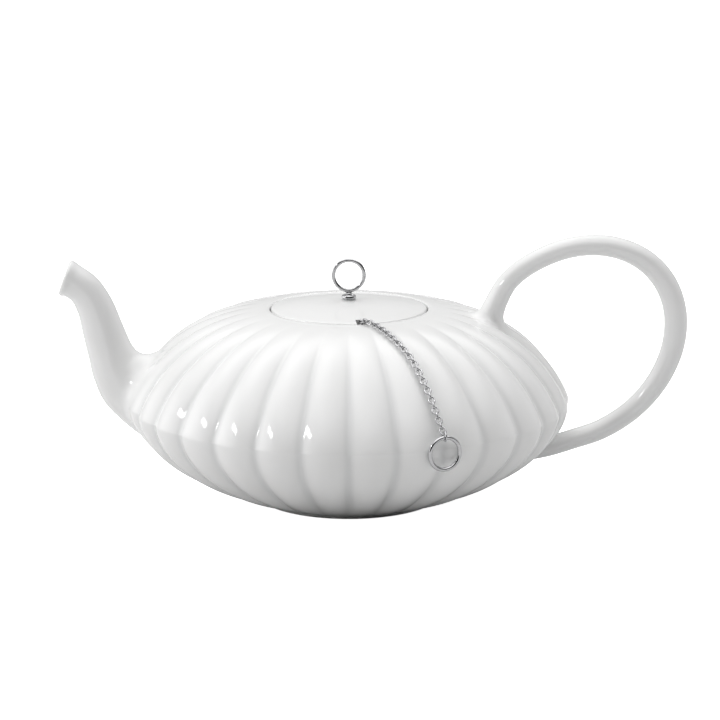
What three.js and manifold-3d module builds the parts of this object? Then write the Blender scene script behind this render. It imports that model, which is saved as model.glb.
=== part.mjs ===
// A porcelain teapot with a steel tea infuser on a chain.
// Millimetres, +Z up, the foot ring stands on Z = 0 and the spout points along -X.
import * as THREE from 'three';
import { mergeVertices } from 'three/addons/utils/BufferGeometryUtils.js';
import Module from 'manifold-3d';

const wasm = await Module();
wasm.setup();

// ---- driving dimensions -------------------------------------------------------------------
const GAP = 0.3; // clearance between pieces that touch

const BELLY_RADIUS = 100; // pot body at its widest
const BELLY_HEIGHT = 45; // height of the widest ring above the table
const CROWN = { height: 42.65, radialPower: 3.84, heightPower: 1.23 }; // upper half of the body
const KEEL = { height: 50.2, radialPower: 1.75, heightPower: 1.83 }; // lower half of the body
const WALL = 4;

const LOBES = 30;
const LOBE_DEPTH = 2.4; // from a lobe's crown to the crease beside it
const LOBE_STEPS = 3;
const ROUND_STEPS = 48; // flats round the turned surfaces of the pot and the lid

const FOOT_OUTER = 42.4;
const FOOT_INNER = 39.4;
const FOOT_RECESS = 2.4;
const FLOOR_LEVEL = 6.2;

const LID_RADIUS = 35.2;
const LID_RIM_LEVEL = 87.1;
const LID_CROWN_LEVEL = 90.6;
const LID_THICKNESS = 4;
const LID_SEAT_LEVEL = 83.2;
const SEAT_INNER = 32.5;
const THROAT_LEVEL = 77.4;
const FLANGE_OUTER = 31.8;
const FLANGE_INNER = 28.6;
const FLANGE_LEVEL = 76.6;

const SPOUT_WALL = 2.4;
const SPOUT_HOLE_RADIUS = 7.5;
const HANDLE_LOOP = { x: 101.6, z: 70.2, long: 50, short: 41.4, lean: 41.3 }; // a leaning oval

const KNOB_RING_RADIUS = 6.9; // to the middle of the wire
const RING_WIRE_RADIUS = 0.9;
const KNOB_RING_LEVEL = 101.8;
const KNOB_SHANK_RADIUS = 1.5;
const KNOB_HOLE_RADIUS = 2;

const LINK_WIRE_RADIUS = 0.36;
const LINK_WIDTH = 3.1;
const LINK_LENGTH = 3.95;
const LINK_PITCH = 2.42;
const NOTCH_WIDTH = 4.6;
const NOTCH_BEARING = 9.5; // degrees from the front, towards the handle

const BALL_RADIUS = 20.3; // outside of the perforated domes
const BALL_SHEET = 0.7;
const RIM_RADIUS = 22.2;
const RIM_WIDTH = 2.8;
const BALL_CLEARANCE = 1.2; // closed infuser above the pot floor
const HINGE_RISE = 1.4; // hinge pin above the infuser's rim
const EYE_RADIUS = 2;
const EYE_WIRE_RADIUS = 0.4;
const JUMP_RADIUS = 1.85;
const JUMP_WIRE_RADIUS = 0.35;

const POT_AXIS_X = -11.35; // the spout and the handle then reach about equally far from the origin

// ---- materials ----------------------------------------------------------------------------
const PORCELAIN = { color: 0xf4f3ef, roughness: 0.08, metalness: 0 };
const POLISHED_STEEL = { color: 0xc9cbcd, roughness: 0.12, metalness: 1 };
const PRESSED_STEEL = { color: 0xb4b7ba, roughness: 0.3, metalness: 1 };
const SILICONE = { color: 0xdfe2e2, roughness: 0.5, metalness: 0 };

// ---- solids -------------------------------------------------------------------------------
const degrees = (value) => THREE.MathUtils.degToRad(value);

// A closed three.js geometry as a manifold solid, turned the right way out.
function solid(geometry) {
  const bare = geometry.clone();
  bare.deleteAttribute('normal');
  bare.deleteAttribute('uv');
  const merged = mergeVertices(bare, 1e-4);
  const positions = Float32Array.from(merged.attributes.position.array);
  const kept = [];
  let volume = 0;
  const corners = [new THREE.Vector3(), new THREE.Vector3(), new THREE.Vector3()];
  for (let i = 0; i < merged.index.count; i += 3) {
    const face = [0, 1, 2].map((k) => merged.index.getX(i + k));
    if (face[0] === face[1] || face[1] === face[2] || face[2] === face[0]) continue;
    corners.forEach((corner, k) => corner.fromBufferAttribute(merged.attributes.position, face[k]));
    volume += corners[0].dot(corners[1].clone().cross(corners[2])) / 6;
    kept.push(face);
  }
  const faces = volume < 0 ? kept.map(([a, b, c]) => [a, c, b]) : kept;
  const triVerts = Uint32Array.from(faces.flat());
  return new wasm.Manifold(new wasm.Mesh({ numProp: 3, vertProperties: positions, triVerts }));
}

// A manifold solid as a three.js geometry.
function geometryOf(manifold) {
  const mesh = manifold.getMesh();
  const geometry = new THREE.BufferGeometry();
  geometry.setAttribute('position', new THREE.BufferAttribute(Float32Array.from(mesh.vertProperties), 3));
  geometry.setIndex(new THREE.BufferAttribute(Uint32Array.from(mesh.triVerts), 1));
  geometry.computeVertexNormals();
  return geometry;
}

// A body of revolution about Z from [radius, height] pairs.
function turned(profile, segments) {
  const points = profile.map(([radius, height]) => new THREE.Vector2(radius, height));
  return new THREE.LatheGeometry(points, segments).rotateX(Math.PI / 2);
}

// A rod with its length along Z, its middle at the given place.
function rod(radius, length, segments, x = 0, y = 0, z = 0) {
  return new THREE.CylinderGeometry(radius, radius, length, segments).rotateX(Math.PI / 2).translate(x, y, z);
}

function block(size, centre) {
  return new THREE.BoxGeometry(...size).translate(...centre);
}

// A round bar whose centre line and two radii change together, in the plane Y = 0.
// Each section is [x, z, radius in the plane, radius across it].
function loft(sections, radialSegments, steps) {
  const middle = new THREE.CatmullRomCurve3(sections.map(([x, z]) => new THREE.Vector3(x, 0, z)));
  const radii = new THREE.CatmullRomCurve3(sections.map(([, , a, b]) => new THREE.Vector3(a, b, 0)));
  const geometry = new THREE.CylinderGeometry(1, 1, 1, radialSegments, steps);
  const position = geometry.attributes.position;
  for (let i = 0; i < position.count; i += 1) {
    const along = THREE.MathUtils.clamp(position.getY(i) + 0.5, 0, 1);
    const centre = middle.getPoint(along);
    const tangent = middle.getTangent(along);
    const radius = radii.getPoint(along);
    const inPlane = position.getX(i) * radius.x;
    position.setXYZ(
      i,
      centre.x - tangent.z * inPlane,
      position.getZ(i) * radius.y,
      centre.z + tangent.x * inPlane,
    );
  }
  return geometry;
}

// ---- the gadrooned body -------------------------------------------------------------------
// A point of the body's outline, pushed inwards along its normal by `inset`.
// `angle` runs from 0 at the widest ring to 90 degrees at the pot's axis.
function bellyPoint(shape, angle, inset) {
  const c = Math.max(Math.cos(angle), 0);
  const s = Math.max(Math.sin(angle), 0);
  const radius = BELLY_RADIUS * c ** (2 / shape.radialPower);
  const rise = shape.height * s ** (2 / shape.heightPower);
  const slopeR = (shape.radialPower / BELLY_RADIUS) * (radius / BELLY_RADIUS) ** (shape.radialPower - 1);
  const slopeZ = (shape.heightPower / shape.height) * (rise / shape.height) ** (shape.heightPower - 1);
  const length = Math.hypot(slopeR, slopeZ);
  const sign = shape === CROWN ? 1 : -1;
  return {
    radius: radius - (inset * slopeR) / length,
    height: BELLY_HEIGHT + sign * (rise - (inset * slopeZ) / length),
    normalR: slopeR / length,
    normalZ: (sign * slopeZ) / length,
  };
}

function bellyOutline(shape, fromAngle, toAngle, steps, inset) {
  const outline = [];
  for (let i = 0; i <= steps; i += 1) {
    outline.push(bellyPoint(shape, degrees(fromAngle + ((toAngle - fromAngle) * i) / steps), inset));
  }
  return outline;
}

// How deep the creases are at a distance from the pot's axis.
function lobeDepth(radius, aboveBelly) {
  const [start, full] = aboveBelly ? [42, 84] : [47, 86];
  return LOBE_DEPTH * THREE.MathUtils.smoothstep(radius, start, full);
}

// The body's outside as a closed solid, `growth` larger all round. It is used for the body itself
// and to trim what joins it.
function bellySolid(growth) {
  const lower = bellyOutline(KEEL, 61.2, 8, 7, -growth);
  const upper = bellyOutline(CROWN, 0, 83.4, 9, -growth);
  const outline = [...lower, ...upper];
  const base = growth > 0 ? -growth : 0;
  const profile = [
    [0, base],
    [FOOT_OUTER + growth, base],
    ...outline.map(({ radius, height }) => [radius, height]),
    [0, outline.at(-1).height],
  ];
  const geometry = turned(profile, LOBES * LOBE_STEPS);
  const position = geometry.attributes.position;
  for (let i = 0; i < position.count; i += 1) {
    const row = (i % profile.length) - 2;
    if (row < 0 || row >= outline.length) continue;
    const { radius, height, normalR, normalZ } = outline[row];
    const bearing = Math.atan2(position.getX(i), -position.getY(i));
    const acrossLobe = 2 * (((bearing * LOBES) / (2 * Math.PI) + LOBES + 1e-6) % 1) - 1;
    const drop = lobeDepth(radius, height >= BELLY_HEIGHT) * acrossLobe ** 2;
    const moved = radius - drop * normalR;
    position.setXYZ(i, moved * Math.sin(bearing), -moved * Math.cos(bearing), height - drop * normalZ);
  }
  return solid(geometry);
}

function cavity() {
  const lower = bellyOutline(KEEL, 58, 8, 4, WALL);
  const upper = bellyOutline(CROWN, 0, 72, 6, WALL);
  const above = LID_CROWN_LEVEL + 5;
  return solid(turned([
    [0, FLOOR_LEVEL],
    ...lower.map(({ radius, height }) => [radius, Math.max(height, FLOOR_LEVEL)]),
    ...upper.map(({ radius, height }) => [radius, height]),
    [SEAT_INNER + 4, THROAT_LEVEL],
    [SEAT_INNER, THROAT_LEVEL],
    [SEAT_INNER, LID_SEAT_LEVEL],
    [LID_RADIUS + 0.5, LID_SEAT_LEVEL],
    [LID_RADIUS + 0.5, LID_RIM_LEVEL - 0.9],
    [LID_RADIUS + 1.1, LID_RIM_LEVEL],
    [LID_RADIUS + 1.1, above],
    [0, above],
  ], ROUND_STEPS));
}

function footRecess() {
  return solid(turned([
    [0, -1],
    [FOOT_INNER, -1],
    [FOOT_INNER, 0],
    [FOOT_INNER - 0.8, FOOT_RECESS],
    [0, FOOT_RECESS],
  ], ROUND_STEPS));
}

// Spout sections from inside the body to just past the mouth.
const SPOUT_SECTIONS = [
  [-78, 44, 17, 15],
  [-90, 46, 16.4, 14.4],
  [-99.5, 51.3, 14.4, 12.6],
  [-104.9, 58.6, 12, 11],
  [-108.2, 66.8, 10.2, 9.8],
  [-111.3, 76.9, 9.3, 9],
  [-114.4, 87, 8.4, 8.2],
  [-118.9, 95, 7.8, 7.7],
  [-124.6, 99.4, 7.8, 7.7],
  [-131.5, 102.3, 8.9, 8.4],
];
const MOUTH = { x: -128.3, z: 100.7, tilt: -20 }; // middle of the cut and its lean from upright

function mouthCutter() {
  const cutter = new THREE.BoxGeometry(30, 60, 60).translate(-15, 0, 0);
  return solid(cutter.rotateY(degrees(-MOUTH.tilt)).translate(MOUTH.x, 0, MOUTH.z));
}

function spoutHole() {
  const drill = rod(SPOUT_HOLE_RADIUS, 40, 16).rotateY(degrees(-90));
  return solid(drill.translate(-96, 0, 50));
}

// Handle sections: a short root on the shoulder, the round loop, and a tail along the underside.
function handleSections() {
  const { x, z, long, short, lean } = HANDLE_LOOP;
  const loop = [];
  for (let turn = 92; turn >= -108; turn -= 20) {
    const out = long * Math.cos(degrees(turn));
    const up = short * Math.sin(degrees(turn));
    const swell = 0.65 * Math.max(0, Math.cos(degrees(turn + 25))) ** 2;
    loop.push([
      x + out * Math.cos(degrees(lean)) - up * Math.sin(degrees(lean)),
      z + out * Math.sin(degrees(lean)) + up * Math.cos(degrees(lean)),
      4.6 + swell,
      5.1 + swell,
    ]);
  }
  return [
    [62, 76, 6.6, 7.6],
    [66.6, 89.5, 5, 5.8],
    ...loop,
    [101.5, 25.2, 4.5, 5.4],
    [89.4, 21.6, 4.5, 6],
    [72, 19, 4.6, 7],
  ];
}

// ---- lid ----------------------------------------------------------------------------------
// The lid's top is a shallow dome through its crown and its rim.
function lidTop(radius) {
  return LID_CROWN_LEVEL - (LID_CROWN_LEVEL - LID_RIM_LEVEL) * (radius / LID_RADIUS) ** 2;
}

// The slot in the lid's edge that the chain leaves by: it is open below and outwards.
function notchCutter() {
  const outline = new THREE.Shape([
    new THREE.Vector2(27.4, FLANGE_LEVEL - 2),
    new THREE.Vector2(27.4, 81.2),
    new THREE.Vector2(31.9, 90),
    new THREE.Vector2(38, 90),
    new THREE.Vector2(38, FLANGE_LEVEL - 2),
  ]);
  const slab = new THREE.ExtrudeGeometry(outline, { depth: NOTCH_WIDTH, bevelEnabled: false });
  slab.translate(0, 0, -NOTCH_WIDTH / 2).rotateX(Math.PI / 2);
  return solid(slab.rotateZ(degrees(NOTCH_BEARING - 90)));
}

function lid() {
  const underside = (radius) => lidTop(radius) - LID_THICKNESS;
  const ring = [KNOB_HOLE_RADIUS, lidTop(0)];
  const body = solid(turned([
    ring,
    ...[14, 26].map((radius) => [radius, lidTop(radius)]),
    [LID_RADIUS - 0.8, LID_RIM_LEVEL],
    [LID_RADIUS, LID_RIM_LEVEL - 0.8],
    [LID_RADIUS, LID_SEAT_LEVEL + GAP],
    [FLANGE_OUTER, LID_SEAT_LEVEL + GAP],
    [FLANGE_OUTER, FLANGE_LEVEL + 1],
    [FLANGE_OUTER - 1, FLANGE_LEVEL],
    [FLANGE_INNER, FLANGE_LEVEL],
    [FLANGE_INNER, LID_SEAT_LEVEL],
    [20, underside(20)],
    [KNOB_HOLE_RADIUS, underside(0)],
    ring,
  ], ROUND_STEPS));
  return body.subtract(notchCutter());
}

// ---- knob ---------------------------------------------------------------------------------
const LID_UNDER = LID_CROWN_LEVEL - LID_THICKNESS;

// The dished cup under the ring, on a thin seal.
const knobCup = () => turned([
  [KNOB_SHANK_RADIUS + GAP, 91.3],
  [3.2, 91.3],
  [3.4, 91.7],
  [3.1, 92.6],
  [2.3, 93],
  [KNOB_SHANK_RADIUS + GAP, 92.3],
  [KNOB_SHANK_RADIUS + GAP, 91.3],
], 20);

// A neck with a collar on top, and a threaded shank that goes down through the lid.
const knobStud = () => turned([
  [0, 82.4],
  [KNOB_SHANK_RADIUS, 82.4],
  [KNOB_SHANK_RADIUS, 92.6],
  [1.3, 92.9],
  [1.1, 93.2],
  [1.55, 93.4],
  [1.55, 93.55],
  [0, 93.55],
], 16);

const washer = (inner, outer, bottom, top, segments) => turned([
  [inner, bottom],
  [outer, bottom],
  [outer, top],
  [inner, top],
  [inner, bottom],
], segments);

function hexNut(holeRadius, cornerRadius, bottom, top) {
  const middle = (bottom + top) / 2;
  const blank = solid(rod(cornerRadius, top - bottom, 6, 0, 0, middle));
  return blank.subtract(solid(rod(holeRadius, top - bottom + 2, 16, 0, 0, middle)));
}

function ring(radius, wireRadius, wireSides, steps) {
  return new THREE.TorusGeometry(radius, wireRadius, wireSides, steps);
}

// ---- chain --------------------------------------------------------------------------------
// One oval link with its length along X, flat in the plane XY.
function link() {
  const geometry = ring((LINK_WIDTH - 2 * LINK_WIRE_RADIUS) / 2, LINK_WIRE_RADIUS, 5, 8);
  const position = geometry.attributes.position;
  const stretch = (LINK_LENGTH - LINK_WIDTH) / 2;
  for (let i = 0; i < position.count; i += 1) {
    const x = position.getX(i);
    if (Math.abs(x) > 0.5) position.setX(i, x + Math.sign(x) * stretch);
  }
  return geometry;
}

// The chain's route from the notch over the body, measured from the pot's axis.
const CHAIN_ROUTE = [
  [5.1, -30.4, 81.9],
  [5.3, -31.6, 85.2],
  [5.7, -33.9, 87.9],
  [7, -36.4, 88.7],
  [10.1, -39.3, 88.3],
  [13.1, -44.4, 87.6],
  [18.5, -54, 85.4],
  [23.5, -62.1, 82],
  [27.4, -68.8, 78.1],
  [31, -75.7, 72.4],
  [34.3, -81.5, 65.9],
  [37, -86.8, 59.1],
  [39.9, -91.9, 51.7],
];
const chainCurve = new THREE.CatmullRomCurve3(CHAIN_ROUTE.map((point) => new THREE.Vector3(...point)));

// The links hook into each other at points one pitch apart along the route. Each link is turned a
// quarter turn from the one before it, and the frame is carried along the route without twisting.
function chainPlacements() {
  chainCurve.arcLengthDivisions = 400;
  const length = chainCurve.getLength();
  const count = Math.floor(length / LINK_PITCH);
  const hooks = [];
  for (let i = 0; i <= count; i += 1) {
    hooks.push(chainCurve.getPointAt((i * LINK_PITCH) / length));
  }
  const placements = [];
  let across = new THREE.Vector3(1, 0, 0);
  for (let i = 0; i < count; i += 1) {
    const along = hooks[i + 1].clone().sub(hooks[i]).normalize();
    across = across.clone().addScaledVector(along, -across.dot(along)).normalize();
    const centre = hooks[i].clone().lerp(hooks[i + 1], 0.5);
    const basis = new THREE.Matrix4().makeBasis(along, across, along.clone().cross(across));
    const twist = new THREE.Matrix4().makeRotationX(degrees(i % 2 ? 45 : -45));
    placements.push(basis.multiply(twist).setPosition(centre));
  }
  return placements;
}

// ---- infuser ------------------------------------------------------------------------------
// Built round its own middle. The seam is the plane Y = 0, the rear half is at -Y and stays on the
// chain, and the front half opens towards +Y about the pin at the top.
const HINGE_LEVEL = RIM_RADIUS + HINGE_RISE;
const KNUCKLE_RADIUS = 1.1;
const PIN_RADIUS = 0.5;

// A pressed dome with rows of round holes; `side` is -1 or +1 along Y.
function dome(side) {
  const rows = 5;
  const outer = [];
  const inner = [];
  for (let i = 0; i <= rows; i += 1) {
    const angle = degrees(3 + (87 * i) / rows);
    outer.push([BALL_RADIUS * Math.cos(angle), BALL_RADIUS * Math.sin(angle)]);
    const radius = BALL_RADIUS - BALL_SHEET;
    inner.unshift([radius * Math.cos(angle), radius * Math.sin(angle)]);
  }
  outer[rows][0] = 0;
  inner[0][0] = 0;
  let shell = solid(turned([...outer, ...inner, outer[0]], 24));
  for (const [elevation, count] of [[25, 8], [55, 4]]) {
    for (let i = 0; i < count; i += 1) {
      const drill = rod(2.6, 6, 6, 0, 0, BALL_RADIUS);
      drill.rotateY(degrees(90 - elevation)).rotateZ(degrees((360 * (i + 0.5)) / count));
      shell = shell.subtract(solid(drill));
    }
  }
  return solid(geometryOf(shell).rotateX(side * degrees(-90)));
}

// A band round a dome's edge, with hinge knuckles at the top.
function rim(side, knuckles) {
  const band = washer(BALL_RADIUS + GAP, RIM_RADIUS, GAP / 2, RIM_WIDTH, 32).rotateX(side * degrees(-90));
  let body = solid(band);
  for (const [centre, length] of knuckles) {
    const tube = rod(KNUCKLE_RADIUS, length, 10).rotateY(degrees(90)).translate(centre, 0, HINGE_LEVEL);
    const foot = block([length, 1.6, HINGE_RISE + 0.3], [centre, side * 1.2, RIM_RADIUS + HINGE_RISE / 2 - 0.3]);
    body = body.add(solid(tube)).add(solid(foot));
  }
  const bore = rod(PIN_RADIUS + 0.15, 30, 10).rotateY(degrees(90)).translate(0, 0, HINGE_LEVEL);
  return body.subtract(solid(bore));
}

// A hinge pin with a small head at each end.
function hingePin() {
  const half = 4.9;
  const head = PIN_RADIUS + 0.35;
  return turned([
    [0, -half - 0.5],
    [head, -half - 0.5],
    [head, -half],
    [PIN_RADIUS, -half],
    [PIN_RADIUS, half],
    [head, half],
    [head, half + 0.5],
    [0, half + 0.5],
  ], 10).rotateX(Math.PI / 2).rotateZ(Math.PI / 2).translate(0, 0, HINGE_LEVEL);
}

// The spring strip at the bottom of the front half: it snaps under the rear half's rim.
function latchStrip() {
  const strip = block([5, 6.4, 0.5], [0, 0.1, -RIM_RADIUS - GAP - 0.35]);
  const rivetHole = rod(0.9, 4, 10, 0, 1.9, -RIM_RADIUS - 0.6);
  return solid(strip).subtract(solid(rivetHole));
}

// ---- assembly -----------------------------------------------------------------------------
const object = new THREE.Group();
const pot = new THREE.Group();
pot.position.x = POT_AXIS_X;
object.add(pot);

function place(parent, name, shape, material, placement) {
  const manifold = shape.isBufferGeometry ? solid(shape) : shape;
  const mesh = new THREE.Mesh(geometryOf(manifold), new THREE.MeshStandardMaterial(material));
  mesh.name = name;
  if (placement) mesh.applyMatrix4(placement);
  parent.add(mesh);
  return mesh;
}

const envelope = bellySolid(GAP);
const bore = solid(loft(
  SPOUT_SECTIONS.map(([x, z, a, b]) => [x, z, a - SPOUT_WALL, b - SPOUT_WALL]),
  16,
  14,
));

place(pot, 'pot_body', bellySolid(0).subtract(cavity()).subtract(footRecess()).subtract(spoutHole()), PORCELAIN);
const spoutBlank = solid(loft(SPOUT_SECTIONS, 18, 14)).subtract(mouthCutter());
place(pot, 'spout', spoutBlank.subtract(envelope).subtract(bore), PORCELAIN);
place(pot, 'handle', solid(loft(handleSections(), 10, 32)).subtract(envelope), PORCELAIN);
place(pot, 'lid', lid(), PORCELAIN);

place(pot, 'knob_seal', washer(KNOB_SHANK_RADIUS + GAP, 3, 90.7, 91.1, 20), SILICONE);
place(pot, 'knob_cup', knobCup(), POLISHED_STEEL);
place(pot, 'knob_stud', knobStud(), POLISHED_STEEL);
const knobRing = ring(KNOB_RING_RADIUS, RING_WIRE_RADIUS, 7, 24).rotateX(Math.PI / 2);
place(pot, 'knob_ring', knobRing.translate(0, 0, KNOB_RING_LEVEL), POLISHED_STEEL);
place(pot, 'lid_gasket', washer(KNOB_SHANK_RADIUS + GAP, 4.5, LID_UNDER - 1, LID_UNDER - 0.2, 20), SILICONE);
place(pot, 'lid_washer', washer(KNOB_SHANK_RADIUS + GAP, 4, LID_UNDER - 1.8, LID_UNDER - 1.2, 20), PRESSED_STEEL);
place(pot, 'knob_nut', hexNut(KNOB_SHANK_RADIUS + 0.1, 3, LID_UNDER - 4, LID_UNDER - 2), PRESSED_STEEL);

const placements = chainPlacements();
placements.forEach((placement, i) => {
  place(pot, `chain_link_${String(i + 1).padStart(2, '0')}`, link(), POLISHED_STEEL, placement);
});

// The last link, a jump ring and the pull ring hang in each other.
const LINK_HOOK = LINK_PITCH / 2 - (LINK_LENGTH / 2 - LINK_WIRE_RADIUS);
const lastAlong = new THREE.Vector3().setFromMatrixColumn(placements.at(-1), 0).normalize();
const lastHook = new THREE.Vector3().setFromMatrixPosition(placements.at(-1));
lastHook.addScaledVector(lastAlong, LINK_PITCH / 2);
const pullBearing = Math.atan2(lastHook.x, -lastHook.y);
const jumpCentre = lastHook.clone().addScaledVector(lastAlong, JUMP_RADIUS + LINK_HOOK);
const pullTop = JUMP_RADIUS * 2 + LINK_HOOK - JUMP_WIRE_RADIUS - RING_WIRE_RADIUS - 0.1;
const pullCentre = lastHook.clone().addScaledVector(lastAlong, pullTop);
pullCentre.z -= KNOB_RING_RADIUS;
const pullJump = ring(JUMP_RADIUS, JUMP_WIRE_RADIUS, 6, 12).rotateY(Math.PI / 2).rotateZ(pullBearing);
place(pot, 'pull_jump_ring', pullJump.translate(...jumpCentre.toArray()), POLISHED_STEEL);
const pullRing = ring(KNOB_RING_RADIUS, RING_WIRE_RADIUS, 7, 24).rotateX(Math.PI / 2).rotateZ(pullBearing);
place(pot, 'pull_ring', pullRing.translate(...pullCentre.toArray()), POLISHED_STEEL);

// The infuser hangs inside the pot, under the notch.
const EYE_OFFSET = 2.5;
const infuser = new THREE.Group();
const [chainX, chainY, chainZ] = CHAIN_ROUTE[0];
infuser.position.set(chainX, chainY + EYE_OFFSET, FLOOR_LEVEL + BALL_CLEARANCE + RIM_RADIUS + 1.2);
pot.add(infuser);
const knuckle = 1.7;
place(infuser, 'infuser_rear_rim', rim(-1, [[-3.7, knuckle], [3.7, knuckle]]), POLISHED_STEEL);
place(infuser, 'infuser_front_rim', rim(1, [[0, 5]]), POLISHED_STEEL);
place(infuser, 'infuser_rear_dome', dome(-1), PRESSED_STEEL);
place(infuser, 'infuser_front_dome', dome(1), PRESSED_STEEL);
place(infuser, 'infuser_hinge_pin', hingePin(), POLISHED_STEEL);
place(infuser, 'infuser_latch', latchStrip(), POLISHED_STEEL);
place(infuser, 'infuser_latch_rivet', rod(0.6, 1, 8, 0, 1.9, -RIM_RADIUS - GAP - 0.5), POLISHED_STEEL);

const eyeLevel = RIM_RADIUS + GAP + EYE_RADIUS + EYE_WIRE_RADIUS;
const eye = ring(EYE_RADIUS, EYE_WIRE_RADIUS, 6, 12).rotateX(Math.PI / 2);
place(infuser, 'infuser_eye', eye.translate(0, -EYE_OFFSET, eyeLevel), POLISHED_STEEL);
const jumpLevel = eyeLevel + EYE_RADIUS + JUMP_RADIUS - EYE_WIRE_RADIUS - JUMP_WIRE_RADIUS - 0.1;
const infuserJump = ring(JUMP_RADIUS, JUMP_WIRE_RADIUS, 6, 12).rotateY(Math.PI / 2);
place(infuser, 'infuser_jump_ring', infuserJump.translate(0, -EYE_OFFSET, jumpLevel), POLISHED_STEEL);

// The run of chain inside the pot, as one plain bar of the chain's width.
const innerBottom = infuser.position.z + jumpLevel + JUMP_RADIUS + JUMP_WIRE_RADIUS + GAP;
const innerTop = chainZ + LINK_PITCH / 2 - LINK_LENGTH / 2 - GAP;
const innerRoute = new THREE.LineCurve3(
  new THREE.Vector3(chainX, chainY, innerBottom),
  new THREE.Vector3(chainX, chainY, innerTop),
);
const innerSection = new THREE.Shape();
for (let side = 0; side < 8; side += 1) {
  const angle = degrees(45 * side);
  const corner = [(LINK_WIDTH / 2) * Math.cos(angle), (LINK_WIDTH / 2) * Math.sin(angle)];
  if (side === 0) innerSection.moveTo(...corner);
  else innerSection.lineTo(...corner);
}
innerSection.closePath();
const innerChain = new THREE.ExtrudeGeometry(innerSection, { steps: 4, extrudePath: innerRoute });
place(pot, 'chain_inner_run', innerChain, POLISHED_STEEL);

export default object;
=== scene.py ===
import math

import bmesh
import bpy
import numpy as np
from mathutils import Matrix, Vector


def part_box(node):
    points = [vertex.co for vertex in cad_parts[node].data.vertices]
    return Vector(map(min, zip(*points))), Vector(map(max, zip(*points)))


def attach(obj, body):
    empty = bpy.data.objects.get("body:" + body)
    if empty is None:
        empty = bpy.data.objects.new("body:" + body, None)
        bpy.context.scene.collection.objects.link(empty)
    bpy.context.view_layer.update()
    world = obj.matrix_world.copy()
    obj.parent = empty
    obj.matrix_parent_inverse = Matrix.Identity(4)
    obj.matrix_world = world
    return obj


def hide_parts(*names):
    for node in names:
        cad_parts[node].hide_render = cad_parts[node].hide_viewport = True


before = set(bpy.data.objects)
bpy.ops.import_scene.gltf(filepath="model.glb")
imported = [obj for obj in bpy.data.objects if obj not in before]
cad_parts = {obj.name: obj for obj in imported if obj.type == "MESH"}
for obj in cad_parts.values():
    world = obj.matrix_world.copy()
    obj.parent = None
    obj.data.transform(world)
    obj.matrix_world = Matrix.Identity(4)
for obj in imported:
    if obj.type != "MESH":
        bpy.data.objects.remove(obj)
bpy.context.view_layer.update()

MM = 0.001
lid_low, lid_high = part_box("lid")
AXIS_X = (lid_low.x + lid_high.x) / 2  # the pot's own axis in the row frame, metres


def place(points):
    """Millimetres from the pot's axis as metres in the row frame."""
    return np.asarray(points, float) * MM + np.array([AXIS_X, 0, 0])


# ---- camera ----
CAMERA_DISTANCE = 1.1395
CAMERA_ELEVATION = math.radians(14)
AIM_RIGHT, AIM_UP = 0.00506, 0.01716  # from the belly's middle, as the picture is framed

belly_middle = Vector((AXIS_X, 0, 0.045))
back = Vector((0, -math.cos(CAMERA_ELEVATION), math.sin(CAMERA_ELEVATION)))
up = Vector((0, math.sin(CAMERA_ELEVATION), math.cos(CAMERA_ELEVATION)))
camera = bpy.data.objects.new("camera", bpy.data.cameras.new("camera"))
bpy.context.scene.collection.objects.link(camera)
camera.data.lens = 125
camera.data.sensor_width = 36
camera.data.clip_start, camera.data.clip_end = 0.01, 50
camera.location = belly_middle + back * CAMERA_DISTANCE
aim = belly_middle + Vector((1, 0, 0)) * AIM_RIGHT + up * AIM_UP
camera.rotation_euler = (aim - camera.location).to_track_quat("-Z", "Y").to_euler()
bpy.context.scene.camera = camera


# ---- curves ----
def through(points, t):
    """The centripetal Catmull-Rom curve through the points, at t from 0 to 1."""
    points = np.asarray(points, float)
    last = len(points) - 1
    before = 2 * points[0] - points[1]
    after = 2 * points[-1] - points[-2]
    padded = np.vstack([before, points, after])
    x = np.clip(np.atleast_1d(np.asarray(t, float)), 0, 1) * last
    i = np.minimum(x.astype(int), last - 1)
    w = (x - i)[:, None]
    p0, p1, p2, p3 = (padded[i + k] for k in range(4))
    d0, d1, d2 = (
        np.sqrt(np.linalg.norm(b - a, axis=1))[:, None] for a, b in ((p0, p1), (p1, p2), (p2, p3))
    )
    d1 = np.where(d1 < 1e-4, 1, d1)
    d0 = np.where(d0 < 1e-4, d1, d0)
    d2 = np.where(d2 < 1e-4, d1, d2)
    t1 = ((p1 - p0) / d0 - (p2 - p0) / (d0 + d1) + (p2 - p1) / d1) * d1
    t2 = ((p2 - p1) / d1 - (p3 - p1) / (d1 + d2) + (p3 - p2) / d2) * d1
    c2 = -3 * p1 + 3 * p2 - 2 * t1 - t2
    c3 = 2 * p1 - 2 * p2 + t1 + t2
    return p1 + t1 * w + c2 * w**2 + c3 * w**3


def spaced(points, distances, steps=400):
    """Points of the curve at these distances along it."""
    t = np.linspace(0, 1, steps + 1)
    line = through(points, t)
    run = np.concatenate([[0], np.cumsum(np.linalg.norm(np.diff(line, axis=0), axis=1))])
    return through(points, np.interp(distances, run, t)), run[-1]


def smoothstep(x, low, high):
    t = np.clip((np.asarray(x, float) - low) / (high - low), 0, 1)
    return t * t * (3 - 2 * t)


# ---- meshes ----
def piece(name, points, faces, sharp=40):
    """A closed, smooth-shaded mesh from points in millimetres from the pot's axis."""
    mesh = bpy.data.meshes.new(name)
    mesh.from_pydata(place(points).tolist(), [], [tuple(f) for f in faces])
    made = bpy.data.objects.new(name, mesh)
    bpy.context.scene.collection.objects.link(made)
    b = bmesh.new()
    b.from_mesh(mesh)
    bmesh.ops.recalc_face_normals(b, faces=b.faces)
    b.to_mesh(mesh)
    b.free()
    shade(mesh, sharp)
    return made


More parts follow.
